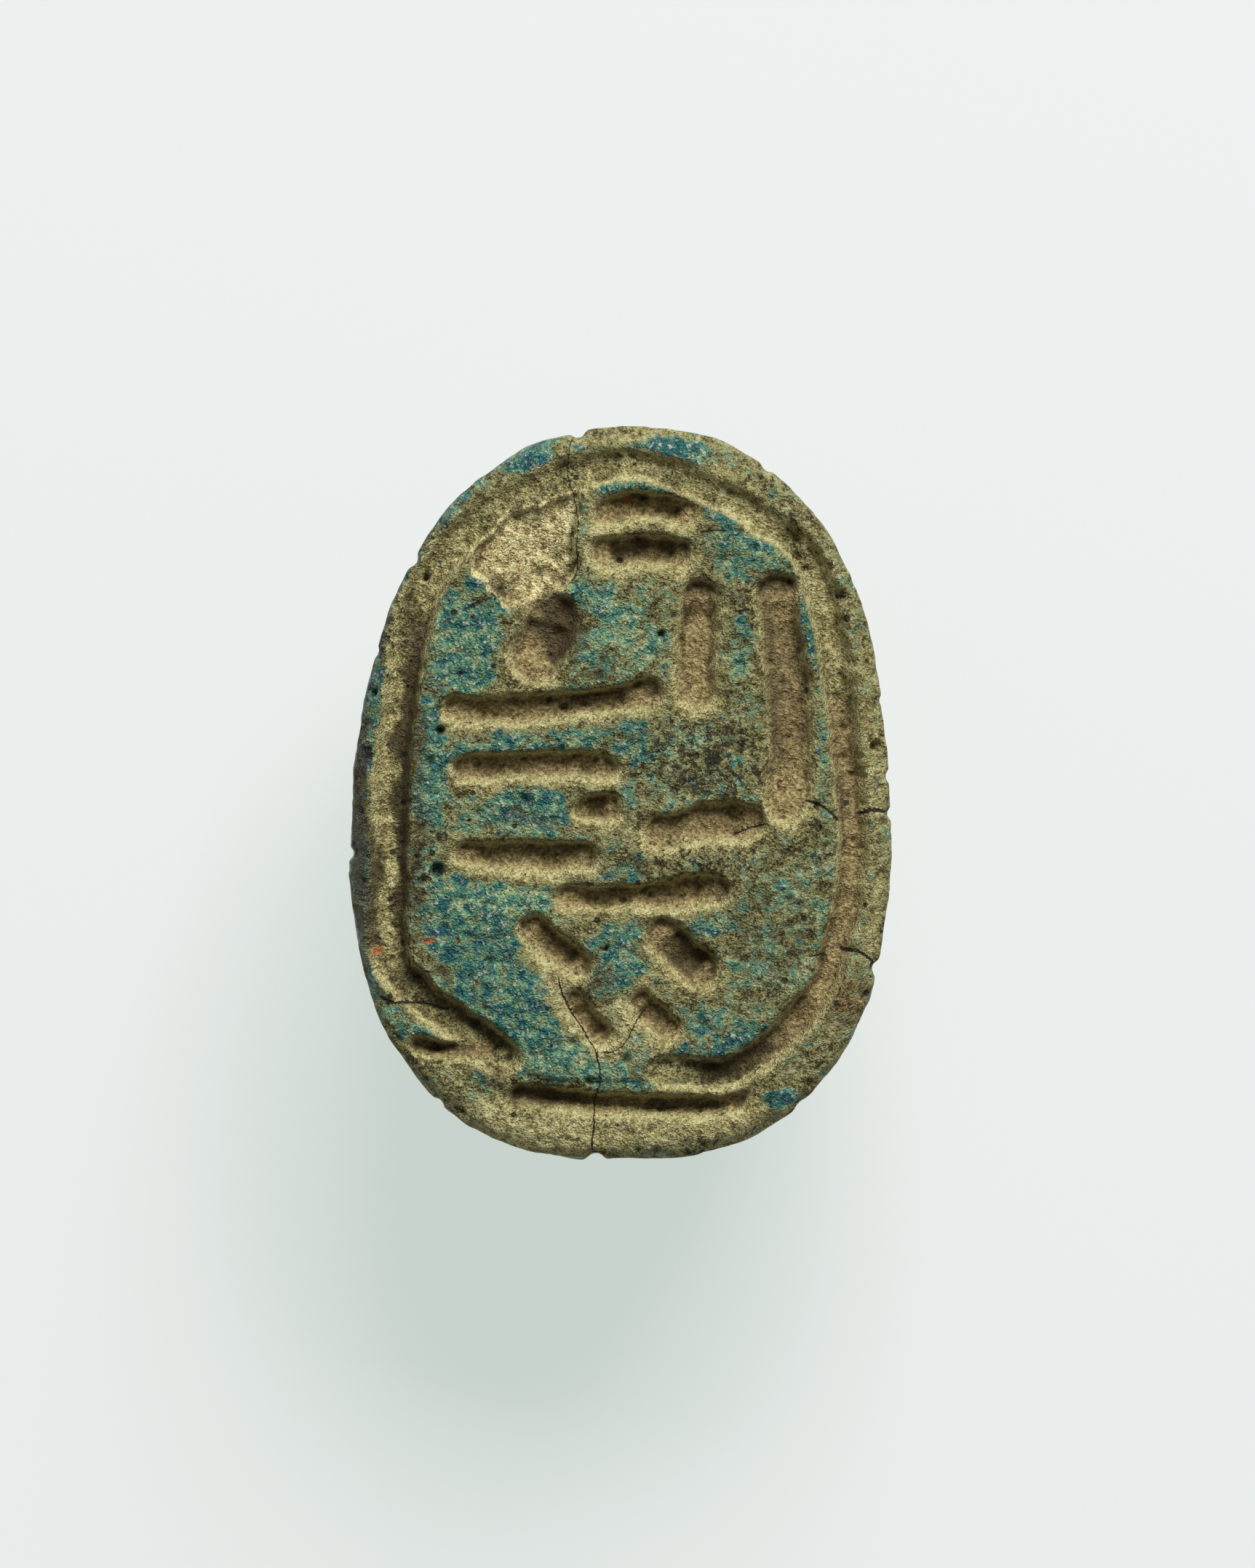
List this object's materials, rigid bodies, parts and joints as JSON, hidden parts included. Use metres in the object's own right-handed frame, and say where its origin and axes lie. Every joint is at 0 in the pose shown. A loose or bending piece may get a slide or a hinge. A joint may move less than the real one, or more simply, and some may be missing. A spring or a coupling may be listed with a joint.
{
  "type": "scarab amulet",
  "caption": "Oval seal amulet with a carved beetle on its back, a bordered seal face of shallow strokes, and a lengthwise thread hole.",
  "frame": {"origin": "on the worn flat of the beetle's back, under the middle of the seal face", "axes": "+Z out of the seal face, +Y lengthwise towards the beetle's head, +X across, to the right as the seal face is read"},
  "size_m": [0.0118, 0.016, 0.0072],
  "materials": {
    "faience": "glazed composition, matt and pitted, blue-green worn through to a buff body, with dust in the cuts"
  },
  "bodies": {
    "root": {"scarab": "faience"}
  },
  "joints": []
}
